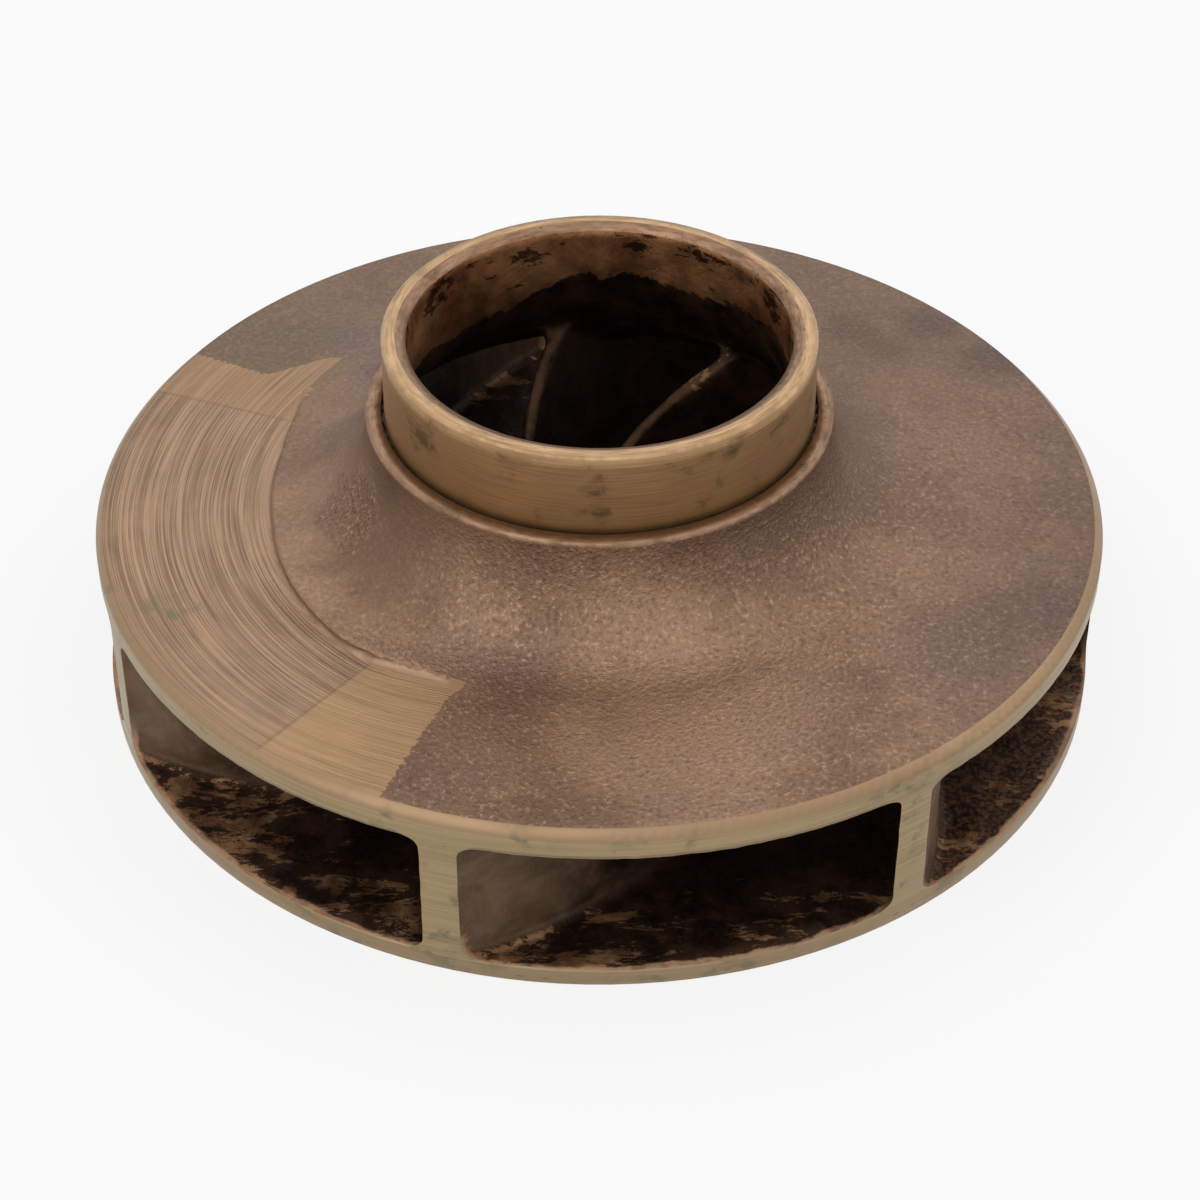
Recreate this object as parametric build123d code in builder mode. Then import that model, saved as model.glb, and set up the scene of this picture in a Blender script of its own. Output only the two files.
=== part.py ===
from build123d import *
import os
from math import cos, degrees, hypot, radians, sin, tan

# A closed radial pump impeller, sand cast in bronze in one piece and turned where it runs.
# Millimetres. The origin is the centre of the back face, +Z points to the suction eye.
# Every profile is drawn as (radius, height) on the XZ plane and revolved about Z.

# Overall
outer_d = 241.3  # trimmed impeller diameter
overall_h = 91.4  # back face to the top of the eye ring

# Rim, from the back face up
back_rim_t = 4.75  # back shroud at the rim
outlet_w = 33.65  # free width of the outlet passages
front_rim_t = 4.65  # turned band of the front shroud, below its chamfer
rim_chamfer_w = 2.1
rim_chamfer_h = 2.2
back_edge_chamfer = 0.3

# Front shroud
front_slope = 2.3  # rise of the outer face towards the axis, degrees
roof_slope = 4.5  # rise of the passage roof towards the axis, degrees
bell_r = 23.0  # outer face, where the shroud turns up into the neck
throat_r = 41.0  # passage side of the same turn

# Eye ring and neck, outwards and downwards from the eye
eye_d = 89.8
ring_wall_t = 5.75
shoulder_w = 4.65  # from the ring out to the cast neck
ring_top_chamfer = 0.65
eye_bevel_w = 2.6
eye_bevel_h = 1.3
neck_straight = 0.415  # cast neck above the bell
shoulder_drop = 0.9  # from the turned shoulder down to the cast neck
shoulder_lip = 0.3
relief_w = 0.8  # relief groove at the foot of the ring
relief_depth = 1.0

# Hub
hub_nose_d = 45.0
hub_h = 40.0
hub_draft = 4.0  # degrees
hub_root_r = 26.0  # sweep from the hub into the passage floor
floor_slope = 2.0  # rise of the passage floor towards the axis, degrees
bore_d = 28.575  # 1 1/8 in shaft
bore_chamfer = 1.0
key_w = 6.35
key_depth = 3.2  # keyway depth above the bore
nose_chamfer = 1.2

# Back face
back_relief_depth = 1.0  # cast recess between the turned hub face and the turned rim
back_hub_land_d = 58.0
back_rim_land_w = 16.0

# Vanes
vane_count = 7
vane_t = 4.8  # at the outer diameter
vane_edge_t = 2.8  # at the hub, to which the vanes thin evenly
vane_nose_r = 1.2
vane_foot = 3.0  # how far the vanes run on into the hub
exit_angle = 34.0  # vane angle at the outer diameter, degrees from the tangent
inlet_angle = 54.5  # vane angle at the hub
vane_clock = -55.1  # heading of one vane's outlet end, degrees
edge_hub_out = 1.5  # leading edge at the hub, outside the nose
edge_hub_drop = 6.4  # and below it
edge_shroud_out = 6.6  # leading edge at the front shroud, outside the eye
edge_rise = 24.2  # rise of the leading edge between them
root_fillet = 3.0

# Balance cut, a flat faced off the heavy side of the front shroud
cut_depth = 0.55  # below the chamfer's upper edge
cut_inner_r = 79.8
cut_corner_r = 1.9
cut_start = 159.5  # full depth between these two headings, degrees
cut_end = 231.6
cut_lead_in = 8.7  # run-out at each end, degrees
cut_lead_out = 14.9
run_out_clear = 0.05  # the cutter's height over the cast face where it leaves

overrun = 6.0  # how far cores and cutters pass the surfaces that they open
wall_spans = 10  # spans of the spline along a vane's wall
tolerance = 0.01

outer_r = outer_d / 2
eye_r = eye_d / 2
ring_r = eye_r + ring_wall_t
neck_r = ring_r + shoulder_w
bore_r = bore_d / 2
hub_nose_r = hub_nose_d / 2
hub_foot_r = hub_nose_r + hub_h * tan(radians(hub_draft))
core_r = outer_r + overrun
roof_rim_z = back_rim_t + outlet_w
band_top_z = roof_rim_z + front_rim_t
front_rim_z = band_top_z + rim_chamfer_h
front_rim_r = outer_r - rim_chamfer_w
cut_floor_z = front_rim_z - cut_depth
bevel_foot_z = overall_h - eye_bevel_h * (eye_bevel_w + overrun) / eye_bevel_w
edge_hub_r = hub_nose_r + edge_hub_out
edge_hub_z = hub_h - edge_hub_drop
edge_shroud_r = eye_r + edge_shroud_out


def front_face_z(radius):
    """Height of the front shroud's outer face, outside the bell."""
    return front_rim_z + (front_rim_r - radius) * tan(radians(front_slope))


def floor_z(radius):
    """Height of the passage floor, outside the hub's sweep."""
    return back_rim_t + (outer_r - radius) * tan(radians(floor_slope))


def roof_z(radius):
    """Height of the passage roof, outside the throat's sweep."""
    return roof_rim_z + (outer_r - radius) * tan(radians(roof_slope))


def rim_to_hub(radius, at_rim, at_hub):
    """Value at a radius of what changes evenly from the rim to the leading edge at the hub."""
    return at_rim + (at_hub - at_rim) * (outer_r - radius) / (outer_r - edge_hub_r)


def vane_angle(radius):
    """Vane angle from the tangent, which steepens from the rim to the hub."""
    return rim_to_hub(radius, exit_angle, inlet_angle)


def wrap_at(radius):
    """Angle that the camber line sweeps from the outer diameter to a radius, in degrees."""
    steps = 30
    step = (outer_r - radius) / steps
    middles = [outer_r - (i + 0.5) * step for i in range(steps)]
    return degrees(sum(step / middle / tan(radians(vane_angle(middle))) for middle in middles))


def wall_point(radius, side):
    """Point of the first vane's wall, on one side of its camber line."""
    out = side * rim_to_hub(radius, vane_t, vane_edge_t) / 2
    across = radians(vane_angle(radius))
    point = Vector(radius + out * cos(across), out * sin(across))
    return point.rotate(Axis.Z, vane_clock + wrap_at(radius))


def section_plane(heading):
    """Plane through the axis at a heading: local x is the radius, local y the height."""
    turn = radians(heading)
    return Plane(origin=(0, 0, 0), x_dir=(cos(turn), sin(turn), 0), z_dir=(sin(turn), -cos(turn), 0))


def cut_section(heading, inner_z, outer_z):
    """Section of the balance cut on the plane at a heading, its floor between two heights."""
    inner_top = (cut_inner_r, front_face_z(cut_inner_r) + overrun)
    outer_top = (core_r, front_face_z(cut_inner_r) + overrun)
    with BuildSketch(section_plane(heading)) as section:
        with BuildLine():
            FilletPolyline(inner_top, (cut_inner_r, inner_z), (core_r, outer_z), radius=cut_corner_r)
            Polyline((core_r, outer_z), outer_top, inner_top)
        make_face()
    return section.sketch


def run_out_section(heading):
    """Section where the balance cut leaves the cast face."""
    return cut_section(
        heading,
        front_face_z(cut_inner_r) + run_out_clear,
        front_face_z(core_r) + run_out_clear,
    )


def on_passage_face(edge):
    """Whether an edge of the core is where a vane meets the revolved passage surface."""
    middle = edge @ 0.5
    radius = hypot(middle.X, middle.Y)
    gap = passage_line.wires()[0].distance_to(Vector(radius, middle.Z))
    return edge.geom_type != GeomType.CIRCLE and gap < tolerance and radius < core_r - tolerance


# The vane: a vertical wall that thins towards the hub, cut back to a leading edge that
# slopes from the front shroud down to the hub
with BuildPart() as vane:
    with BuildSketch() as vane_plan:
        inner_r = hub_nose_r - vane_foot
        step = (core_r + overrun - inner_r) / wall_spans
        stations = [inner_r + i * step for i in range(wall_spans + 1)]
        with BuildLine():
            pressure_side = Spline(*[wall_point(radius, 1) for radius in stations])
            suction_side = Spline(*[wall_point(radius, -1) for radius in stations])
            Line(pressure_side @ 0, suction_side @ 0)
            Line(pressure_side @ 1, suction_side @ 1)
        make_face()
    extrude(amount=overall_h)
    with BuildSketch(Plane.XZ) as edge_section:
        with BuildLine():
            rise = edge_rise / (edge_shroud_r - edge_hub_r)
            near_r = inner_r - overrun
            far_r = core_r + 2 * overrun
            low = (near_r, edge_hub_z - rise * (edge_hub_r - near_r))
            high = (far_r, edge_hub_z + rise * (far_r - edge_hub_r))
            Polyline(low, high, (far_r, 0), (near_r, 0), close=True)
        make_face()
    revolve(axis=Axis.Z, mode=Mode.INTERSECT)
    leading_face = vane.faces().filter_by(GeomType.CONE)[0]
    fillet(leading_face.edges().sort_by(SortBy.LENGTH)[-2:], radius=vane_nose_r)

# The core: the water passage from the eye to the rim, with the vanes taken out of it
with BuildPart() as core:
    with BuildSketch(Plane.XZ) as passage_section:
        eye_top = (eye_r, overall_h + overrun)
        nose_foot = (hub_nose_r, hub_h - nose_chamfer)
        floor_end = (core_r, floor_z(core_r))
        roof_end = (core_r, roof_z(core_r))
        with BuildLine() as passage_line:
            Polyline(eye_top, (0, overall_h + overrun), (0, hub_h), (hub_nose_r - nose_chamfer, hub_h), nose_foot)
            FilletPolyline(nose_foot, (hub_foot_r, floor_z(hub_foot_r)), floor_end, radius=hub_root_r)
            Line(floor_end, roof_end)
            FilletPolyline(roof_end, (eye_r, roof_z(eye_r)), eye_top, radius=throat_r)
        make_face()
    revolve(axis=Axis.Z)
    with PolarLocations(0, vane_count):
        add(vane.part, mode=Mode.SUBTRACT)

    wall_edges = core.edges(Select.LAST)
    fillet([edge for edge in wall_edges if on_passage_face(edge)], radius=root_fillet)


# The casting: the outer form, opened by the core, then bored, keyed and faced
with BuildPart() as impeller:
    with BuildSketch(Plane.XZ) as outer_section:
        hub_land_r = back_hub_land_d / 2
        rim_land_r = outer_r - back_rim_land_w
        bell_top_z = front_face_z(neck_r + bell_r) + bell_r / cos(radians(front_slope))
        cast_neck_z = bell_top_z + neck_straight
        shoulder_z = cast_neck_z + shoulder_drop
        relief_r = ring_r + relief_w
        relief_z = shoulder_z - relief_depth
        front_edge = (front_rim_r, front_rim_z)
        neck_top = (neck_r, cast_neck_z)
        with BuildLine():
            Polyline(
                (0, 0),
                (hub_land_r, 0),
                (hub_land_r, back_relief_depth),
                (rim_land_r, back_relief_depth),
                (rim_land_r, 0),
                (outer_r - back_edge_chamfer, 0),
                (outer_r, back_edge_chamfer),
                (outer_r, band_top_z),
                front_edge,
            )
            FilletPolyline(front_edge, (neck_r, front_face_z(neck_r)), neck_top, radius=bell_r)
            Polyline(
                neck_top,
                (neck_r - shoulder_lip, shoulder_z),
                (relief_r, shoulder_z),
                (relief_r, relief_z),
                (ring_r, relief_z),
                (ring_r, overall_h - ring_top_chamfer),
                (ring_r - ring_top_chamfer, overall_h),
                (eye_r + eye_bevel_w, overall_h),
                (eye_r - overrun, bevel_foot_z),
                (0, bevel_foot_z),
                (0, 0),
            )
        make_face()
    revolve(axis=Axis.Z)
    add(core.part, mode=Mode.SUBTRACT)

    # Keyed bore, chamfered at both ends
    with BuildSketch(Plane.XZ) as bore_section:
        mouth_r = bore_r + bore_chamfer
        with BuildLine():
            Polyline(
                (0, -overrun),
                (mouth_r + overrun, -overrun),
                (bore_r, bore_chamfer),
                (bore_r, hub_h - bore_chamfer),
                (mouth_r + overrun, hub_h + overrun),
                (0, hub_h + overrun),
                close=True,
            )
        make_face()
    revolve(axis=Axis.Z, mode=Mode.SUBTRACT)
    with BuildSketch() as key_plan:
        with Locations((0, (bore_r + key_depth) / 2)):
            Rectangle(key_w, bore_r + key_depth)
    extrude(amount=hub_h, mode=Mode.SUBTRACT)

    # Balance cut: faced flat through the middle, run out to the cast face at both ends
    first_seam = cut_section(cut_start, cut_floor_z, cut_floor_z)
    last_seam = cut_section(cut_end, cut_floor_z, cut_floor_z)
    revolve(first_seam, axis=Axis.Z, revolution_arc=cut_end - cut_start, mode=Mode.SUBTRACT)
    loft([run_out_section(cut_start - cut_lead_in), first_seam], ruled=True, mode=Mode.SUBTRACT)
    loft([last_seam, run_out_section(cut_end + cut_lead_out)], ruled=True, mode=Mode.SUBTRACT)

impeller.part.label = "impeller"
os.makedirs("parts", exist_ok=True)
export_step(impeller.part, "parts/impeller.step")
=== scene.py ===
"""A closed pump impeller: one bronze sand casting, turned on its rim, eye ring and hub."""
import math
from types import SimpleNamespace

import bmesh
import bpy
import numpy as np
from mathutils import Matrix, Vector


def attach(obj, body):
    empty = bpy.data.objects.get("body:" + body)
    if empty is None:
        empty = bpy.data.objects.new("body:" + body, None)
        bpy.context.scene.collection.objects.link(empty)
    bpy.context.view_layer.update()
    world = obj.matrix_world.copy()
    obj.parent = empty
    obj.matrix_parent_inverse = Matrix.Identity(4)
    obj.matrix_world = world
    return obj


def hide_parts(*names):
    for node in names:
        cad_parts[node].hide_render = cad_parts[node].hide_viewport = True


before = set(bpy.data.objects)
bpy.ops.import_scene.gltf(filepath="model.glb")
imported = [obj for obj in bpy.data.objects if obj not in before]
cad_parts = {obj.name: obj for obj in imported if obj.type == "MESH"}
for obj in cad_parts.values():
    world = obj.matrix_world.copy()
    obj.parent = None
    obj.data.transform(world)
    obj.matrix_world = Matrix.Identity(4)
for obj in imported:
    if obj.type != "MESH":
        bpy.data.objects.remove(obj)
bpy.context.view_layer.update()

MM = 0.001

# Sizes of the casting: radii from its axis, heights above its back
OUTER_R = 120.65 * MM
BAND_TOP_Z = 43.05 * MM
FRONT_EDGE_R = 118.55 * MM
FRONT_EDGE_Z = 45.25 * MM
FRONT_SLOPE = math.tan(math.radians(2.3))
SKIN_DEPTH = 2.8 * MM
BELL_R = 23.0 * MM
BELL_CENTRE_R = 78.3 * MM
BELL_CENTRE_Z = 69.885 * MM
THROAT_R = 41.0 * MM
THROAT_CENTRE_R = 85.9 * MM
THROAT_CENTRE_Z = 82.262 * MM
NECK_R = 55.3 * MM
NECK_FOOT_Z = 69.0 * MM
SHOULDER_Z = 71.2 * MM
GROOVE_Z = 70.2 * MM
RING_R = 50.65 * MM
RING_TOP_Z = 91.4 * MM
LAND_INNER_R = 47.5 * MM
EYE_R = 44.9 * MM
BORE_LIMIT_R = 17.8 * MM
BACK_RELIEF = 1.0 * MM
LEADING_EDGE_R = 24.0 * MM
LEADING_EDGE_Z = 33.6 * MM
LEADING_EDGE_RISE = 0.88

# The balance cut: headings in degrees about the axis, from +X towards +Y. Its faces run a little
# past its two ends, which its material draws.
CUT_INNER_R = 79.8 * MM
CUT_Z = 44.7 * MM
CUT_SEAM_1 = 159.5
CUT_SEAM_2 = 231.6
CUT_FACES = (138.7, 251.6)
CUT_HORN = 140.8
CUT_END_1 = 150.9
CUT_END_2 = 246.9
CUT_CORNER_2 = 248.3

# The mesh under the cast skin
REFINE_PASSES = 3
KEPT_SHARE = 0.5

FINISHES = ["cast", "rim", "cut", "ring", "land", "bevel", "core"]

# Stains on the cast skin: x, y and reach in mm, colour, share
STAINS = (
    (64.7, 67.7, 12, "#5c4a41", 0.7), (86, 72, 14, "#574840", 0.7), (102, 56, 16, "#54453f", 0.6),
    (73, 58.6, 11, "#5f4c43", 0.6), (-85, 66, 46, "#6c5c4b", 0.75), (-38, -103, 26, "#6d5546", 0.6),
    (-52, 46, 16, "#54475a", 0.55), (-62, 62, 15, "#6b5a5c", 0.5), (104, -44, 20, "#5d4b47", 0.6),
    (80, -62, 22, "#6d5a58", 0.45), (66, 23, 14, "#6b574b", 0.5), (-60, -12, 22, "#7d6454", 0.4),
    (86, -62, 30, "#66544d", 0.4), (25, -86, 40, "#ab8870", 0.55),
)
STAIN_HEIGHT = 52 * MM
STAIN_PULL = 12 * MM


# Nodes and colours

def linear(code):
    """An sRGB hex colour as linear RGBA."""
    channels = [int(code[i:i + 2], 16) / 255 for i in (1, 3, 5)]
    return [c / 12.92 if c <= 0.04045 else ((c + 0.055) / 1.055) ** 2.4 for c in channels] + [1.0]


def add(tree, kind, inputs=(), **settings):
    """A new node with its settings. Each input is set, or linked to a socket or a node's first output."""
    node = tree.nodes.new(kind)
    for name, value in settings.items():
        setattr(node, name, value)
    for key, value in dict(inputs).items():
        if isinstance(value, bpy.types.Node):
            value = value.outputs[0]
        if isinstance(value, bpy.types.NodeSocket):
            tree.links.new(value, node.inputs[key])
        else:
            node.inputs[key].default_value = value
    return node


# The casting's surface

def arc_gap(radius, height, centre_r, centre_z, arc_r):
    """How far points (radius, height) are from an arc about a centre in the section."""
    return np.hypot(radius - centre_r, height - centre_z) - arc_r


def spacing(point):
    """Longest edge that the mesh keeps at a point: short where cast skin and rough edges show."""
    radius = math.hypot(point.x, point.y)
    height = point.z
    if height < 1.2 * MM:
        return 14 * MM
    if height > 43.5 * MM and radius > NECK_R - 0.5 * MM:
        return 2.6 * MM
    if radius > 113 * MM:
        return 1.8 * MM
    if height > GROOVE_Z and radius > 46 * MM:
        return 4 * MM
    if radius < 60 * MM and height > 34 * MM:
        return 3.0 * MM
    if radius > 88 * MM:
        return 3.0 * MM
    return 6 * MM


def thinned(mesh):
    """Mesh with fewer triangles in the passages' fillets, which are finer than they show."""
    surface = bpy.data.objects.new("thinned", mesh)
    bpy.context.scene.collection.objects.link(surface)
    deep = surface.vertex_groups.new(name="deep")
    for vertex in mesh.vertices:
        radius = math.hypot(vertex.co.x, vertex.co.y)
        if 20 * MM < radius < 119 * MM and 1.5 * MM < vertex.co.z < 41.5 * MM:
            deep.add([vertex.index], 1.0, "REPLACE")
    thin = surface.modifiers.new("thin", "DECIMATE")
    thin.ratio = KEPT_SHARE
    thin.vertex_group = "deep"
    result = bpy.data.meshes.new_from_object(surface.evaluated_get(bpy.context.evaluated_depsgraph_get()))
    bpy.data.objects.remove(surface)
    return result


def refined_casting():
    """Copy of the casting's surface, merged, with enough points for its skin."""
    surface = bmesh.new()
    surface.from_mesh(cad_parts["impeller"].data)
    bmesh.ops.remove_doubles(surface, verts=surface.verts, dist=0.001 * MM)
    merged = bpy.data.meshes.new("merged")
    surface.to_mesh(merged)
    surface.clear()
    surface.from_mesh(thinned(merged))
    for _ in range(REFINE_PASSES):
        long_edges = [
            edge for edge in surface.edges
            if edge.calc_length() > spacing((edge.verts[0].co + edge.verts[1].co) / 2)
        ]
        bmesh.ops.bisect_edges(surface, edges=long_edges, cuts=1)
        bmesh.ops.triangulate(surface, faces=[face for face in surface.faces if len(face.verts) > 3],
                              ngon_method="BEAUTY", quad_method="SHORT_EDGE")
    mesh = bpy.data.meshes.new("impeller_casting")
    surface.to_mesh(mesh)
    surface.free()
    return mesh


def snap_to_turned_form(points):
    """Points moved onto the cylinders and arcs that they were halved off."""
    radius = np.hypot(points[:, 0], points[:, 1])
    height = points[:, 2].copy()
    target = radius.copy()
    for true_r, low, high in (
        (OUTER_R, 0.35 * MM, BAND_TOP_Z),
        (RING_R, GROOVE_Z, RING_TOP_Z),
        (EYE_R, THROAT_CENTRE_Z, RING_TOP_Z),
    ):
        near = (np.abs(radius - true_r) < 0.09 * MM) & (height >= low) & (height <= high)
        target[near] = true_r
    for centre_r, centre_z, arc_r, reach in (
        (BELL_CENTRE_R, BELL_CENTRE_Z, BELL_R, 0.17 * MM),
        (THROAT_CENTRE_R, THROAT_CENTRE_Z, THROAT_R, 0.06 * MM),
    ):
        gap = arc_gap(radius, height, centre_r, centre_z, arc_r)
        near = (np.abs(gap) < reach) & (radius < centre_r - 1 * MM) & (height < centre_z)
        scale = arc_r / (arc_r + gap[near])
        target[near] = centre_r + (radius[near] - centre_r) * scale
        height[near] = centre_z + (height[near] - centre_z) * scale
    stretch = target / np.maximum(radius, 1e-9)
    return np.column_stack([points[:, 0] * stretch, points[:, 1] * stretch, height])


def finishes(centres, normals):
    """Finish of each face, by where it lies on the casting."""
    radius = np.hypot(centres[:, 0], centres[:, 1])
    height = centres[:, 2]
    heading = np.degrees(np.arctan2(centres[:, 1], centres[:, 0])) % 360
    face_z = FRONT_EDGE_Z + (FRONT_EDGE_R - radius) * FRONT_SLOPE
    bell_gap = np.abs(arc_gap(radius, height, BELL_CENTRE_R, BELL_CENTRE_Z, BELL_R))
    result = np.full(len(centres), FINISHES.index("core"))

    def mark(name, where):
        """Gives a finish to some of the faces, over what they had."""
        result[where] = FINISHES.index(name)

    in_skin = height > np.maximum(face_z - SKIN_DEPTH, 42 * MM)
    flat = (radius > BELL_CENTRE_R - 1.2 * MM) & (radius < FRONT_EDGE_R) & in_skin
    mark("cast", flat)
    mark("cast", (radius < BELL_CENTRE_R) & (radius > NECK_R - 0.2 * MM) & (bell_gap < 0.35 * MM))
    on_neck = (height > NECK_FOOT_Z) & (height < GROOVE_Z + 0.3 * MM)
    mark("cast", (np.abs(radius - NECK_R) < 0.1 * MM) & on_neck)
    in_cut = (heading > CUT_FACES[0]) & (heading < CUT_FACES[1]) & (radius > CUT_INNER_R - 0.2 * MM)
    mark("cut", flat & in_cut)
    on_chamfer = (radius > FRONT_EDGE_R - 0.05 * MM) & (height > BAND_TOP_Z - 0.1 * MM)
    mark("rim", on_chamfer & (result != FINISHES.index("cut")))
    outward = (normals[:, 0] * centres[:, 0] + normals[:, 1] * centres[:, 1]) / np.maximum(radius, 1e-9)
    mark("rim", (radius > OUTER_R - 0.25 * MM) & (outward > 0.92))
    mark("rim", height < 0.6 * MM)
    mark("cast", (np.abs(height - BACK_RELIEF) < 0.05 * MM) & (normals[:, 2] < -0.5))
    mark("rim", radius < BORE_LIMIT_R)
    turned = (height > GROOVE_Z - 0.1 * MM) & (radius < NECK_R + 0.05 * MM)
    mark("bevel", turned & (radius > RING_R + 0.02 * MM))
    mark("ring", turned & (np.abs(radius - RING_R) < 0.1 * MM))
    mark("land", (height > RING_TOP_Z - 0.7 * MM) & (radius > LAND_INNER_R - 0.05 * MM))
    on_bevel = (radius < LAND_INNER_R) & (radius > EYE_R + 0.02 * MM)
    mark("bevel", on_bevel & (height > RING_TOP_Z - 1.35 * MM))
    return result


def cut_edge_shift(heading):
    """How far the balance cut's inner edge wanders from its circle, by heading in degrees."""
    headings = [140, 150.8, 160, 170, 190, 210, 225, 238, 247, 256]
    radii_mm = np.array([79.8, 83.6, 80.6, 78.8, 78.8, 80.9, 82.2, 80.2, 79.4, 79.8])
    return np.interp(heading, headings, radii_mm * MM - CUT_INNER_R)


def make_casting():
    """The casting's piece, with each face's finish and where its skin, core, lips and noses lie."""
    mesh = refined_casting()
    points = np.empty(len(mesh.vertices) * 3)
    mesh.vertices.foreach_get("co", points)
    points = snap_to_turned_form(points.reshape(-1, 3))
    mesh.vertices.foreach_set("co", points.ravel())
    mesh.update()

    normals = np.empty(len(mesh.polygons) * 3)
    centres = np.empty(len(mesh.polygons) * 3)
    mesh.polygons.foreach_get("normal", normals)
    mesh.polygons.foreach_get("center", centres)
    finish = finishes(centres.reshape(-1, 3), normals.reshape(-1, 3))
    corners = np.empty(len(mesh.polygons) * 3, int)
    mesh.polygons.foreach_get("vertices", corners)
    corners = corners.reshape(-1, 3)

    count = len(points)
    on = {name: np.zeros(count, bool) for name in FINISHES}
    for index, name in enumerate(FINISHES):
        on[name][corners[finish == index].ravel()] = True
    turned = on["rim"] | on["ring"] | on["land"] | on["bevel"] | on["cut"]
    skin = (on["cast"] & ~turned & ~on["core"]).astype(float)
    core = (on["core"] & ~turned & ~on["cast"]).astype(float)
    radius = np.hypot(points[:, 0], points[:, 1])
    lip = (on["core"] & on["rim"] & (radius > OUTER_R - 0.1 * MM)).astype(float)

    heading = np.degrees(np.arctan2(points[:, 1], points[:, 0])) % 360
    near_cut = np.exp(-((radius - CUT_INNER_R) / (6 * MM)) ** 2) * (points[:, 2] > 44 * MM)
    new_radius = radius + cut_edge_shift(heading) * near_cut
    points[:, :2] *= (new_radius / np.maximum(radius, 1e-9))[:, None]
    mesh.vertices.foreach_set("co", points.ravel())

    edge_z = LEADING_EDGE_Z + (radius - LEADING_EDGE_R) * LEADING_EDGE_RISE
    on_edge = core * (radius < 54 * MM) * (radius > 23.5 * MM)
    nose = np.exp(-((points[:, 2] - edge_z) / (0.9 * MM)) ** 2) * on_edge
    for name, values in (("skin", skin), ("core", core), ("lip", lip), ("nose", nose)):
        layer = mesh.attributes.new(name, "FLOAT", "POINT")
        layer.data.foreach_set("value", values)
    layer = mesh.attributes.new("finish", "INT", "FACE")
    layer.data.foreach_set("value", finish)

    mesh.shade_smooth()
    mesh.set_sharp_from_angle(angle=math.radians(32))
    casting = bpy.data.objects.new("impeller_casting", mesh)
    bpy.context.scene.collection.objects.link(casting)
    return casting


# Cast skin, as a geometry tree

def skin_tree(materials):
    """Moves cast and core faces by the sand's unevenness and gives each finish its material."""
    tree = bpy.data.node_groups.new("sand_skin", "GeometryNodeTree")
    sockets = tree.interface
    sockets.new_socket("Geometry", in_out="INPUT", socket_type="NodeSocketGeometry")
    for name, value in (
        ("Skin height", 0.12 * MM), ("Skin wavelength", 9 * MM),
        ("Core height", 0.9 * MM), ("Core wavelength", 7 * MM),
        ("Lip wander", 0.8 * MM), ("Lip wavelength", 4 * MM),
    ):
        socket = sockets.new_socket(name, in_out="INPUT", socket_type="NodeSocketFloat")
        socket.default_value = value
    sockets.new_socket("Geometry", in_out="OUTPUT", socket_type="NodeSocketGeometry")
    given = add(tree, "NodeGroupInput").outputs
    place = add(tree, "GeometryNodeInputPosition")
    normal = add(tree, "GeometryNodeInputNormal")
    where = {
        name: add(tree, "GeometryNodeInputNamedAttribute", {"Name": name}, data_type="FLOAT")
        for name in ("skin", "core", "lip")
    }

    def uneven(wavelength, detail):
        """Noise vector about nought with a given wavelength."""
        size = add(tree, "ShaderNodeMath", {0: 1.0, 1: given[wavelength]}, operation="DIVIDE")
        noise = add(tree, "ShaderNodeTexNoise", {"Vector": place, "Scale": size, "Detail": detail,
                                                 "Roughness": 0.6}).outputs["Color"]
        return add(tree, "ShaderNodeVectorMath", {0: noise, 1: (0.5, 0.5, 0.5)}, operation="SUBTRACT")

    def lift(name, height, wavelength, detail):
        """Offset along the normal where the surface has a given attribute."""
        along = add(tree, "ShaderNodeSeparateXYZ", {0: uneven(wavelength, detail)})
        tall = add(tree, "ShaderNodeMath", {0: along, 1: given[height]}, operation="MULTIPLY")
        held = add(tree, "ShaderNodeMath", {0: tall, 1: where[name]}, operation="MULTIPLY")
        return add(tree, "ShaderNodeVectorMath", {0: normal, "Scale": held}, operation="SCALE")

    # The windows' lips wander along the turned rim, never off it
    flat = add(tree, "ShaderNodeVectorMath", {0: place, 1: (1, 1, 0)}, operation="MULTIPLY")
    outward = add(tree, "ShaderNodeVectorMath", {0: flat}, operation="NORMALIZE")
    wander = uneven("Lip wavelength", 3.0)
    off = add(tree, "ShaderNodeVectorMath", {0: wander, 1: outward}, operation="DOT_PRODUCT").outputs["Value"]
    off_rim = add(tree, "ShaderNodeVectorMath", {0: outward, "Scale": off}, operation="SCALE")
    along_rim = add(tree, "ShaderNodeVectorMath", {0: wander, 1: off_rim}, operation="SUBTRACT")
    lip_size = add(tree, "ShaderNodeMath", {0: where["lip"], 1: given["Lip wander"]}, operation="MULTIPLY")
    lip = add(tree, "ShaderNodeVectorMath", {0: along_rim, "Scale": lip_size}, operation="SCALE")

    skin = lift("skin", "Skin height", "Skin wavelength", 2.0)
    core = lift("core", "Core height", "Core wavelength", 4.0)
    both = add(tree, "ShaderNodeVectorMath", {0: skin, 1: core}, operation="ADD")
    offset = add(tree, "ShaderNodeVectorMath", {0: both, 1: lip}, operation="ADD")
    moved = add(tree, "GeometryNodeSetPosition", {"Geometry": given["Geometry"], "Offset": offset})
    whole = add(tree, "GeometryNodeRealizeInstances", {"Geometry": moved})
    finish = add(tree, "GeometryNodeInputNamedAttribute", {"Name": "finish"}, data_type="INT").outputs[0]
    for index, material in enumerate(materials):
        here = add(tree, "FunctionNodeCompare", {2: finish, 3: index}, data_type="INT", operation="EQUAL")
        whole = add(tree, "GeometryNodeSetMaterial", {"Geometry": whole, "Selection": here,
                                                      "Material": material})
    add(tree, "NodeGroupOutput", {"Geometry": whole})
    return tree


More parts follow.
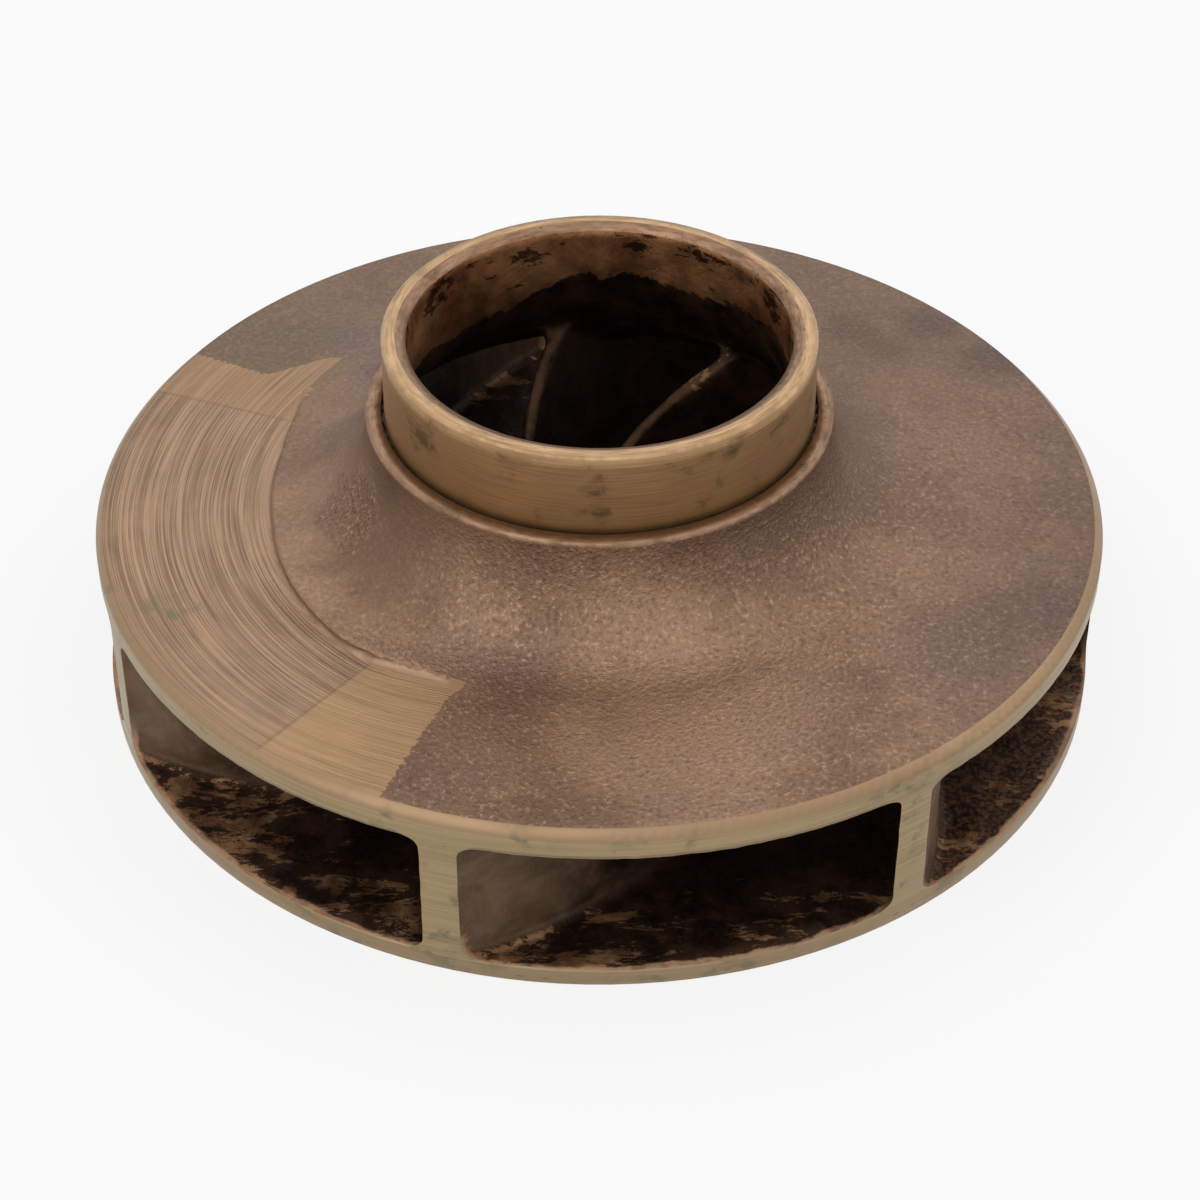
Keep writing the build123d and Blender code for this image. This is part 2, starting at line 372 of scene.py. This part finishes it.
def apply_skin(casting, materials):
    """Runs the skin tree on the casting and keeps its result as the casting's mesh."""
    modifier = casting.modifiers.new("sand_skin", "NODES")
    modifier.node_group = skin_tree(materials)
    evaluated = casting.evaluated_get(bpy.context.evaluated_depsgraph_get())
    mesh = bpy.data.meshes.new_from_object(evaluated)
    casting.modifiers.remove(modifier)
    casting.data = mesh


# What the finishes share

def blank(name, metallic, roughness):
    """A new material, with what its patterns go by: its place on the casting, its radius and its
    height, and its direction from the turning axis."""
    material = bpy.data.materials.new(name)
    material.use_nodes = True
    tree = material.node_tree
    shader = tree.nodes["Principled BSDF"]
    shader.inputs["Metallic"].default_value = metallic
    shader.inputs["Roughness"].default_value = roughness
    place = add(tree, "ShaderNodeTexCoord").outputs["Object"]
    parts = add(tree, "ShaderNodeSeparateXYZ", {0: place}).outputs
    flat = add(tree, "ShaderNodeVectorMath", {0: place, 1: (1, 1, 0)}, operation="MULTIPLY")
    return SimpleNamespace(
        material=material, tree=tree, shader=shader, place=place,
        x=parts["X"], y=parts["Y"], height=parts["Z"],
        radius=add(tree, "ShaderNodeVectorMath", {0: flat}, operation="LENGTH").outputs["Value"],
        around=add(tree, "ShaderNodeVectorMath", {0: flat}, operation="NORMALIZE"),
    )


def graded(metal, value, start, full, share=1.0, least=0.0, within=()):
    """A share that goes smoothly from its least to its full size as a value goes from start to
    full, thinned by the other shares that it lies within."""
    result = add(metal.tree, "ShaderNodeMapRange", {
        "Value": value, "From Min": start, "From Max": full, "To Min": least, "To Max": share,
    }, interpolation_type="SMOOTHSTEP")
    for other in within:
        result = add(metal.tree, "ShaderNodeMath", {0: result, 1: other}, operation="MULTIPLY")
    return result.outputs[0]


def layered(metal, base, layers):
    """A base colour with others laid over it in turn, each as its share and its colour."""
    colour = linear(base) if isinstance(base, str) else base
    for share, over in layers:
        over = linear(over) if isinstance(over, str) else over
        mix = add(metal.tree, "ShaderNodeMix", {0: share, 6: colour, 7: over}, data_type="RGBA")
        colour = mix.outputs[2]
    return colour


def spot(metal, place, centre, reach, core, share=1.0):
    """A share that is full near a point, out to its core's part of the reach, and fades past it."""
    away = add(metal.tree, "ShaderNodeVectorMath", {0: place, 1: centre}, operation="DISTANCE")
    return graded(metal, away.outputs["Value"], reach, reach * core, share)


def patches(metal, size, detail=4.0, shift=0.0):
    """Noise whose patches are about as wide as a size."""
    moved = add(metal.tree, "ShaderNodeVectorMath", {0: metal.place, 1: (shift, shift, shift)},
                operation="ADD")
    return add(metal.tree, "ShaderNodeTexNoise", {"Vector": moved, "Scale": 1 / size, "Detail": detail,
                                                  "Roughness": 0.6}).outputs["Fac"]


def tool_lines(metal, pitch, run, detail=2.0):
    """Noise drawn out along a lathe tool's path: as wide as a pitch across it, and as long as a
    run, in radians, along it."""
    tree = metal.tree
    across = add(tree, "ShaderNodeMath", {0: metal.radius, 1: metal.height}, operation="ADD")
    lines = add(tree, "ShaderNodeMath", {0: across, 1: pitch}, operation="DIVIDE")
    step = add(tree, "ShaderNodeCombineXYZ", {"Z": lines})
    turned = add(tree, "ShaderNodeVectorMath", {0: metal.around, "Scale": 1 / run}, operation="SCALE")
    path = add(tree, "ShaderNodeVectorMath", {0: turned, 1: step}, operation="ADD")
    return add(tree, "ShaderNodeTexNoise", {"Vector": path, "Scale": 1.0, "Detail": detail,
                                            "Roughness": 0.6}).outputs["Fac"]


def dress(metal, colour, roughness, relief, relief_height, strength):
    """Links a finish's colour, roughness and relief to its shader, and gives its material."""
    bump = add(metal.tree, "ShaderNodeBump", {"Height": relief, "Distance": relief_height,
                                              "Strength": strength})
    metal.tree.links.new(colour, metal.shader.inputs["Base Color"])
    metal.tree.links.new(roughness, metal.shader.inputs["Roughness"])
    metal.tree.links.new(bump.outputs[0], metal.shader.inputs["Normal"])
    return metal.material


# Cast bronze

def cast_look(metal):
    """Colour, roughness and relief of bronze as it left the sand: a dull brown with grey and
    purple clouds, and a grain with painted glints on its peaks, which fades to smooth at the back."""
    tree = metal.tree
    clouds = patches(metal, 42 * MM, 6.0)
    colour = layered(metal, "#735a48", [
        (graded(metal, clouds, 0.36, 0.64), "#93745d"),
        (graded(metal, patches(metal, 24 * MM, 5.0, 0.3), 0.48, 0.66, 0.5), "#7b665b"),
        # Darker towards the back and towards the right
        (graded(metal, metal.y, -30 * MM, 90 * MM, 0.55), "#6f5b4b"),
        (graded(metal, metal.x, 20 * MM, 120 * MM, 0.5), "#725b50"),
    ])

    # Stains, their outlines pulled ragged by a noise 7 mm wide
    wobble = add(tree, "ShaderNodeTexNoise", {"Vector": metal.place, "Scale": 1 / (7 * MM),
                                              "Detail": 3.0}).outputs["Color"]
    pull = add(tree, "ShaderNodeVectorMath", {0: wobble, "Scale": STAIN_PULL}, operation="SCALE")
    ragged = add(tree, "ShaderNodeVectorMath", {0: metal.place, 1: pull}, operation="ADD")
    for x, y, reach, code, share in STAINS:
        centre = (x * MM + STAIN_PULL / 2, y * MM + STAIN_PULL / 2, STAIN_HEIGHT)
        colour = layered(metal, colour, [(spot(metal, ragged, centre, reach * MM, 0.1, share), code)])

    # Sand grain, drawn as wrinkles 1.1 mm wide so that it shows: strongest at the front and in
    # one rough patch beside the neck
    grain = add(tree, "ShaderNodeTexNoise", {"Vector": metal.place, "Scale": 1 / (1.1 * MM), "Detail": 3.0,
                                             "Roughness": 0.6}).outputs["Fac"]
    backward = add(tree, "ShaderNodeMath", {0: metal.y, 1: 1.6}, operation="MULTIPLY")
    forward = add(tree, "ShaderNodeMath", {0: metal.x, 1: backward}, operation="SUBTRACT")
    uneven = add(tree, "ShaderNodeMath", {0: clouds, 1: 40 * MM}, operation="MULTIPLY")
    towards_front = add(tree, "ShaderNodeMath", {0: forward, 1: uneven}, operation="ADD")
    patch_centre = (-46 * MM, -12 * MM, 54 * MM)
    patch = spot(metal, ragged, patch_centre, 17 * MM, 0.6, 2.0)
    coarse = add(tree, "ShaderNodeMath", {
        0: graded(metal, towards_front, 10 * MM, 100 * MM, 1.0, 0.2), 1: patch,
    }, operation="MAXIMUM").outputs[0]
    # Painted glints on the grain's peaks, weaker towards the right, and darker pits between them
    glint = graded(metal, metal.x, 50 * MM, 115 * MM, 0.18, 0.4)
    colour = layered(metal, colour, [
        (graded(metal, grain, 0.55, 0.72, within=[coarse, glint]), "#c8a58b"),
        (graded(metal, grain, 0.46, 0.30, 0.42, within=[coarse]), "#543d2e"),
        (spot(metal, ragged, patch_centre, 17 * MM, 0.6, 0.3), "#75583f"),
    ])
    wrinkles = add(tree, "ShaderNodeMath", {0: grain, 1: coarse}, operation="MULTIPLY")
    fine = add(tree, "ShaderNodeMath", {0: patches(metal, 0.5 * MM, 2.0), 1: 0.2}, operation="MULTIPLY")
    relief = add(tree, "ShaderNodeMath", {0: wrinkles, 1: fine}, operation="ADD").outputs[0]
    return colour, graded(metal, grain, 0.35, 0.7, 0.36, 0.56), relief


def sand_cast_bronze():
    """Bronze cast in sand and left as it came: the dull, grainy brown of the shroud and the bell."""
    metal = blank("sand_cast_bronze", 0.85, 0.5)
    return dress(metal, *cast_look(metal), 0.42 * MM, 1.0)


# Turned bronze

def turned_look(metal, dark, light, stain, stain_share, pitch, run, rough=0.36, pits=0.0, smudge=8 * MM):
    """Colour, roughness and tool marks of bronze turned on a lathe: bare yellow-brown metal with
    fine lines that run round the axis, and the blots that coolant and handling left on them. The
    lines are drawn coarser than a finishing feed, so that they show."""
    marks = tool_lines(metal, pitch, run, 4.0)
    blots = graded(metal, patches(metal, smudge, 6.0, 0.4), 0.52, 0.64)
    smears = graded(metal, tool_lines(metal, 4 * MM, 0.2, 4.0), 0.42, 0.6, 1.0, 0.25,
                    within=[blots, stain_share])
    colour = layered(metal, dark, [
        (graded(metal, marks, 0.34, 0.66), light),
        (graded(metal, patches(metal, 26 * MM), 0.4, 0.62, 0.4), light),
        (smears, stain),
        (graded(metal, patches(metal, 1.1 * MM, 2.0, 0.7), 0.66, 0.74, pits), "#4a3528"),
    ])
    return colour, graded(metal, marks, 0.3, 0.7, rough - 0.04, rough + 0.1), marks


def turned_bronze_rim():
    """Bronze trimmed on a lathe: a pale tan rim, greenish where it is stained, pinker on its
    chamfer and browner at the back shroud's edge."""
    metal = blank("turned_bronze_rim", 0.9, 0.36)
    colour, roughness, marks = turned_look(metal, "#94805f", "#a38e6c", "#6c6a52", 0.85, 0.5 * MM, 0.4)
    slant = add(metal.tree, "ShaderNodeMath", {0: metal.height, 1: metal.radius}, operation="SUBTRACT")
    chamfer_slant = BAND_TOP_Z - OUTER_R
    colour = layered(metal, colour, [
        (graded(metal, slant, chamfer_slant - 0.3 * MM, chamfer_slant + 0.4 * MM, 0.6), "#97785e"),
        (graded(metal, metal.height, 5.5 * MM, 3.5 * MM, 0.45), "#8b7660"),
    ])
    return dress(metal, colour, roughness, marks, 0.03 * MM, 0.6)


def turned_bronze_ring():
    """Bronze turned to a running fit: the eye ring's golden brown, scratched round by the casing
    and stained green-brown, lighter along its head and its foot."""
    metal = blank("turned_bronze_ring", 0.9, 0.4)
    colour, roughness, marks = turned_look(metal, "#917150", "#ab8962", "#5a4d33", 0.8, 0.32 * MM, 0.3,
                                           rough=0.4, smudge=11 * MM)
    colour = layered(metal, colour, [
        (graded(metal, metal.height, 76 * MM, 72.5 * MM, 0.5), "#97784c"),
        (graded(metal, metal.height, 89 * MM, 90.5 * MM, 0.5), "#a5855f"),
        (graded(metal, tool_lines(metal, 0.25 * MM, 0.3), 0.64, 0.72, 0.35), "#c0a182"),
    ])
    return dress(metal, colour, roughness, marks, 0.03 * MM, 0.6)


def turned_bronze_land():
    """Bronze faced off square: the ring's top, the brightest metal, with a few pits."""
    metal = blank("turned_bronze_land", 0.9, 0.36)
    look = turned_look(metal, "#9c7d5a", "#bb9a76", "#7a6a4d", 0.5, 0.7 * MM, 0.15, pits=0.5)
    return dress(metal, *look, 0.03 * MM, 0.6)


def turned_bronze_bevel():
    """Bronze turned once and left pitted: the shoulder and the eye's bevel, a pinker brown, with
    painted shade in the groove at the ring's foot."""
    metal = blank("turned_bronze_bevel", 0.9, 0.42)
    colour, roughness, marks = turned_look(metal, "#7d5f4a", "#9a7b62", "#5e4c38", 0.6, 1.2 * MM, 0.1,
                                           rough=0.42, pits=0.9)
    # Painted shade: the groove at the ring's foot, between the ring and the shoulder, darkened almost to
    # black
    low = graded(metal, metal.height, SHOULDER_Z + 2 * MM, SHOULDER_Z + 1.8 * MM)
    groove = graded(metal, metal.radius, RING_R + 0.95 * MM, RING_R + 0.7 * MM, within=[low])
    return dress(metal, layered(metal, colour, [(groove, "#35291b")]), roughness, marks, 0.03 * MM, 0.6)


def cut_extent(metal, turn):
    """Where the balance cut's finish lies: 1 between its two frayed ends, 0 on the cast skin past
    them. The upper end hooks inward to a horn beside the neck."""
    tree = metal.tree
    waver = add(tree, "ShaderNodeMath", {0: tool_lines(metal, 1.2 * MM, 0.5), 1: 0.5}, operation="SUBTRACT")
    fray = add(tree, "ShaderNodeMath", {0: waver, 1: math.radians(1.6)}, operation="MULTIPLY")
    frayed = add(tree, "ShaderNodeMath", {0: turn, 1: fray}, operation="ADD")
    first = graded(metal, metal.radius, 84.8 * MM, 98 * MM, math.radians(CUT_END_1), math.radians(CUT_HORN))
    last = graded(metal, metal.radius, 79 * MM, 86 * MM, math.radians(CUT_END_2), math.radians(CUT_CORNER_2))
    past_first = add(tree, "ShaderNodeMath", {0: frayed, 1: first}, operation="GREATER_THAN")
    before_last = add(tree, "ShaderNodeMath", {0: frayed, 1: last}, operation="LESS_THAN")
    between_ends = add(tree, "ShaderNodeMath", {0: past_first, 1: before_last}, operation="MULTIPLY")

    # The horn has no wall of its own, so its inner edge is drawn here
    horn_edge = add(tree, "ShaderNodeMapRange", {
        "Value": turn, "From Min": math.radians(CUT_HORN), "From Max": math.radians(CUT_END_1 - 0.1),
        "To Min": 84.9 * MM, "To Max": 83.5 * MM,
    })
    outside_edge = add(tree, "ShaderNodeMath", {0: metal.radius, 1: horn_edge}, operation="GREATER_THAN")
    past_horn = add(tree, "ShaderNodeMath", {0: turn, 1: math.radians(CUT_END_1)}, operation="GREATER_THAN")
    kept = add(tree, "ShaderNodeMath", {0: outside_edge, 1: past_horn}, operation="MAXIMUM")
    return add(tree, "ShaderNodeMath", {0: between_ends, 1: kept}, operation="MULTIPLY").outputs[0]


def faced_bronze_cut():
    """Bronze faced with a coarse feed: the balance cut's tan arcs about the axis, yellower past
    the two seams where the tool runs out, and cast skin beyond its ends."""
    metal = blank("faced_bronze_cut", 0.9, 0.42)
    tree = metal.tree
    colour, roughness, marks = turned_look(metal, "#785e49", "#a4866c", "#746c55", 0.3, 0.32 * MM, 0.4,
                                           rough=0.42, smudge=16 * MM)

    # Heading as an angle that has its jump on the far side of the casting from the cut
    left = add(tree, "ShaderNodeMath", {0: metal.x, 1: -1.0}, operation="MULTIPLY")
    front = add(tree, "ShaderNodeMath", {0: metal.y, 1: -1.0}, operation="MULTIPLY")
    half_turn = add(tree, "ShaderNodeMath", {0: front, 1: left}, operation="ARCTAN2")
    turn = add(tree, "ShaderNodeMath", {0: half_turn, 1: math.pi}, operation="ADD").outputs[0]

    # Deeper tool lines, fewer towards the rim
    inner = graded(metal, metal.radius, 106 * MM, 90 * MM, 1.0, 0.2)
    gaps = graded(metal, tool_lines(metal, 0.55 * MM, 0.4, 1.0), 0.54, 0.66, 0.45, within=[inner])
    seam_1, seam_2 = math.radians(CUT_SEAM_1), math.radians(CUT_SEAM_2)
    soft = math.radians(0.1)
    layers = [
        (gaps, "#644b39"),
        (graded(metal, turn, seam_2 - soft, seam_2 + soft, 0.5), "#ab8b62"),
        (graded(metal, turn, seam_1 + soft, seam_1 - soft, 0.4), "#9a7b5e"),
    ]
    for seam in (seam_1, seam_2):
        away = add(tree, "ShaderNodeMath", {0: turn, 1: seam}, operation="SUBTRACT")
        apart = add(tree, "ShaderNodeMath", {0: away}, operation="ABSOLUTE")
        layers.append((graded(metal, apart, math.radians(0.45), 0.0, 0.5), "#7b5f49"))
    # Painted highlight: lighter along the slope at the cut's inner edge
    layers.append((graded(metal, metal.radius, 84 * MM, 81.5 * MM, 0.6), "#a3846b"))
    stain = spot(metal, metal.place, (-97 * MM, -46 * MM, CUT_Z), 15 * MM, 0.1)
    layers.append((graded(metal, patches(metal, 7 * MM, 6.0), 0.46, 0.62, 0.7, within=[stain]), "#6a6952"))
    layers.append((graded(metal, metal.radius, 114 * MM, 118.5 * MM, 0.3), "#8a7058"))
    colour = layered(metal, colour, layers)

    faced = cut_extent(metal, turn)
    cast_colour, cast_roughness, cast_relief = cast_look(metal)
    colour = layered(metal, cast_colour, [(faced, colour)])
    roughness = add(tree, "ShaderNodeMix", {0: faced, 2: cast_roughness, 3: roughness}).outputs[0]
    raised = add(tree, "ShaderNodeMath", {0: marks, 1: 0.35}, operation="MULTIPLY")
    sunk = add(tree, "ShaderNodeMath", {0: gaps, 1: 0.2}, operation="MULTIPLY")
    faced_relief = add(tree, "ShaderNodeMath", {0: raised, 1: sunk}, operation="SUBTRACT")
    relief = add(tree, "ShaderNodeMix", {0: faced, 2: cast_relief, 3: faced_relief}).outputs[0]
    return dress(metal, colour, roughness, relief, 0.42 * MM, 1.0)


# Core surfaces

def burnt_core_skin():
    """Burnt sand and binder baked onto cast bronze: the passages' black-brown skin, darkened to near
    black as painted shade, torn off in ragged patches down to bare bronze at the eye, along the floor
    and at the outlets."""
    metal = blank("burnt_core_skin", 0.25, 0.6)
    tree, radius, height = metal.tree, metal.radius, metal.height
    metal.shader.inputs["Specular Tint"].default_value = linear("#c9a283")
    normal = add(tree, "ShaderNodeNewGeometry").outputs["Normal"]
    facing = add(tree, "ShaderNodeSeparateXYZ", {0: normal}).outputs["Z"]
    ragged = patches(metal, 9 * MM, 7.0)
    torn = add(tree, "ShaderNodeTexNoise", {"Vector": metal.place, "Scale": 1 / (16 * MM), "Detail": 9.0,
                                            "Roughness": 0.68, "Distortion": 0.6}).outputs["Fac"]

    # Vane sides and roof near the outlet: a grey-brown skin, lighter than the painted near-black shade deeper
    # in
    upright = add(tree, "ShaderNodeMath", {0: facing}, operation="ABSOLUTE")
    reach = add(tree, "ShaderNodeMath", {0: ragged, 1: 22 * MM}, operation="MULTIPLY")
    outer = add(tree, "ShaderNodeMath", {0: radius, 1: reach}, operation="ADD")
    wall = graded(metal, outer, 104 * MM, 124 * MM, 0.9, within=[graded(metal, upright, 0.75, 0.35)])
    wall_colour = layered(metal, "#584533", [(graded(metal, torn, 0.35, 0.65), "#755e48")])

    # Floor: bronze torn bare in streaks near the outlets, and speckled brown at the right
    streaked = add(tree, "ShaderNodeVectorMath", {0: metal.place, 1: (1.0, 2.6, 1.0)}, operation="MULTIPLY")
    streaks = add(tree, "ShaderNodeTexNoise", {"Vector": streaked, "Scale": 1 / (20 * MM), "Detail": 12.0,
                                               "Roughness": 0.78, "Distortion": 0.3}).outputs["Fac"]
    floor = graded(metal, facing, 0.5, 0.85, within=[graded(metal, radius, 86 * MM, 95 * MM)])
    nearer = graded(metal, radius, 90 * MM, 119 * MM, 0.02, -0.06)
    worn = add(tree, "ShaderNodeMath", {0: streaks, 1: nearer}, operation="ADD")
    righter = graded(metal, metal.x, -15 * MM, 30 * MM, -0.06)
    worn = add(tree, "ShaderNodeMath", {0: worn, 1: righter}, operation="ADD")
    bare_floor = graded(metal, worn, 0.512, 0.524, within=[floor])
    right = graded(metal, metal.x, 62 * MM, 84 * MM, 1.0, 0.12)
    speckle = graded(metal, patches(metal, 1.2 * MM), 0.42, 0.62, 0.85, within=[floor, right])
    bare_colour = layered(metal, "#6d4c36", [(graded(metal, ragged, 0.35, 0.65), "#9d7958")])

    # Eye: bare above a ragged line that dips at the left, with soot left in level patches
    dip = graded(metal, metal.x, -2 * MM, -22 * MM, 8 * MM)
    ragged_rise = add(tree, "ShaderNodeMath", {0: torn, 1: 16 * MM}, operation="MULTIPLY")
    line = add(tree, "ShaderNodeMath", {0: height, 1: dip}, operation="ADD")
    line = add(tree, "ShaderNodeMath", {0: line, 1: ragged_rise}, operation="ADD")
    in_eye = graded(metal, radius, 60 * MM, 54 * MM)
    above = graded(metal, line, 84.6 * MM, 85.4 * MM, within=[in_eye])
    level = add(tree, "ShaderNodeVectorMath", {0: metal.place, 1: (1.0, 1.0, 2.4)}, operation="MULTIPLY")
    soot = add(tree, "ShaderNodeTexNoise", {"Vector": level, "Scale": 1 / (13 * MM), "Detail": 10.0,
                                            "Roughness": 0.72}).outputs["Fac"]
    higher = graded(metal, height, 79 * MM, 86 * MM, 0.02, -0.06)
    soot = add(tree, "ShaderNodeMath", {0: soot, 1: higher}, operation="ADD")
    eye_colour = layered(metal, "#724a2f", [
        (graded(metal, patches(metal, 14 * MM, 5.0, 0.5), 0.36, 0.64), "#9e714c"),
        (graded(metal, patches(metal, 10 * MM, 4.0, 0.9), 0.55, 0.66, 0.5), "#8a4e33"),
        (graded(metal, soot, 0.545, 0.565, 0.88), "#20140d"),
    ])

    # Leading edges and the windows' lower lips catch wear
    nose = add(tree, "ShaderNodeAttribute", attribute_name="nose").outputs["Fac"]
    worn_nose = graded(metal, ragged, 0.35, 0.62, 0.65, 0.05, within=[nose])
    bare_nose = graded(metal, torn, 0.63, 0.65, within=[graded(metal, nose, 0.05, 0.2)])
    lip_reach = add(tree, "ShaderNodeMath", {0: torn, 1: 5 * MM}, operation="MULTIPLY")
    at_lip = add(tree, "ShaderNodeMath", {0: radius, 1: lip_reach}, operation="ADD")
    low = graded(metal, height, 16 * MM, 8 * MM)
    lip = graded(metal, at_lip, 121.6 * MM, 122.4 * MM, within=[low])
    lip_colour = layered(metal, "#85654e", [(graded(metal, ragged, 0.4, 0.6), "#b08c70")])

    # Near-black base: the burnt skin, darkened as painted shade of the passages and of the eye's wall below
    # its bare band
    colour = layered(metal, "#140c09", [
        (graded(metal, ragged, 0.4, 0.65), "#301e16"),
        (wall, wall_colour),
        (speckle, "#5f4333"),
        (bare_floor, bare_colour),
        (above, eye_colour),
        (worn_nose, "#6b4f3c"),
        (bare_nose, "#8c6a48"),
        (lip, lip_colour),
    ])
    bare = add(tree, "ShaderNodeMath", {0: bare_floor, 1: above}, operation="MAXIMUM")
    tree.links.new(graded(metal, bare, 0.0, 1.0, 0.8, 0.25), metal.shader.inputs["Metallic"])
    crust = add(tree, "ShaderNodeMath", {0: patches(metal, 1.6 * MM, 3.0), 1: 0.25}, operation="MULTIPLY")
    relief = add(tree, "ShaderNodeMath", {0: torn, 1: crust}, operation="ADD")
    return dress(metal, colour, graded(metal, ragged, 0.35, 0.65, 0.68, 0.42), relief, 0.9 * MM, 0.8)


casting = make_casting()
apply_skin(casting, [
    sand_cast_bronze(), turned_bronze_rim(), faced_bronze_cut(), turned_bronze_ring(), turned_bronze_land(),
    turned_bronze_bevel(), burnt_core_skin(),
])
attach(casting, "root")
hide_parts("impeller")


# Stage

def make_floor():
    """Pale floor that the camera sees as white, apart from the object's shadow."""
    size = 6.0
    mesh = bpy.data.meshes.new("floor")
    corners = [(-size, -size, 0), (size, -size, 0), (size, size, 0), (-size, size, 0)]
    mesh.from_pydata(corners, [], [(0, 1, 2, 3)])
    floor = bpy.data.objects.new("floor", mesh)
    bpy.context.scene.collection.objects.link(floor)
    material = bpy.data.materials.new("paper_sweep")
    material.use_nodes = True
    tree = material.node_tree
    tree.nodes.clear()
    path = add(tree, "ShaderNodeLightPath")
    seen = add(tree, "ShaderNodeMath", {0: path.outputs["Is Camera Ray"], 1: path.outputs["Is Glossy Ray"]},
               operation="MAXIMUM")
    paper = add(tree, "ShaderNodeBsdfDiffuse", {"Color": linear("#f4f4f4")})
    glow = add(tree, "ShaderNodeEmission", {"Color": linear("#ffffff"), "Strength": seen})
    glow_share = add(tree, "ShaderNodeMixShader", {0: 0.8, 1: paper, 2: glow})
    plain = add(tree, "ShaderNodeBsdfDiffuse", {"Color": linear("#d8d8d8")})
    choice = add(tree, "ShaderNodeMixShader", {0: seen, 1: plain, 2: glow_share})
    add(tree, "ShaderNodeOutputMaterial", {"Surface": choice})
    mesh.materials.append(material)


def make_world():
    """White sky: dimmer as a light than as the camera and the metal see it."""
    world = bpy.data.worlds.new("studio")
    bpy.context.scene.world = world
    world.use_nodes = True
    tree = world.node_tree
    tree.nodes.clear()
    path = add(tree, "ShaderNodeLightPath")
    seen = add(tree, "ShaderNodeMath", {0: path.outputs["Is Camera Ray"], 1: path.outputs["Is Glossy Ray"]},
               operation="MAXIMUM")
    strength = add(tree, "ShaderNodeMapRange", {"Value": seen, "To Min": 0.6, "To Max": 1.0})
    background = add(tree, "ShaderNodeBackground", {"Color": linear("#ffffff"), "Strength": strength})
    add(tree, "ShaderNodeOutputWorld", {"Surface": background})


def softbox(name, place, target, size, power):
    """A soft lamp at a place, turned to its target."""
    light = bpy.data.lights.new(name, "AREA")
    light.shape = "RECTANGLE"
    light.size, light.size_y = size
    light.energy = power
    lamp = bpy.data.objects.new(name, light)
    lamp.location = place
    lamp.rotation_euler = (Vector(target) - Vector(place)).to_track_quat("-Z", "Y").to_euler()
    bpy.context.scene.collection.objects.link(lamp)


def make_camera():
    """A long lens that looks down at 39 degrees from the front."""
    lens_mm = 86.94
    distance = 720.97 * MM
    elevation = math.radians(39.034)
    roll = math.radians(0.1)
    target = Vector((0.187 * MM, 0, 10.8 * MM))
    data = bpy.data.cameras.new("camera")
    data.lens = lens_mm
    data.sensor_width = 36
    camera = bpy.data.objects.new("camera", data)
    camera.location = target + distance * Vector((0, -math.cos(elevation), math.sin(elevation)))
    tilt = Matrix.Rotation(math.radians(90) - elevation, 3, "X") @ Matrix.Rotation(roll, 3, "Z")
    camera.rotation_euler = tilt.to_euler()
    bpy.context.scene.collection.objects.link(camera)
    bpy.context.scene.camera = camera


make_floor()
make_world()
middle = (0, 0, 0.05)
softbox("key", (-0.7, -0.9, 1.5), middle, (2.0, 2.0), 10)
softbox("fill", (1.3, 0.2, 1.2), middle, (1.6, 1.6), 4)
softbox("back", (-0.2, 1.3, 1.3), middle, (2.0, 1.2), 4)
make_camera()
bpy.context.scene.view_settings.view_transform = "Standard"
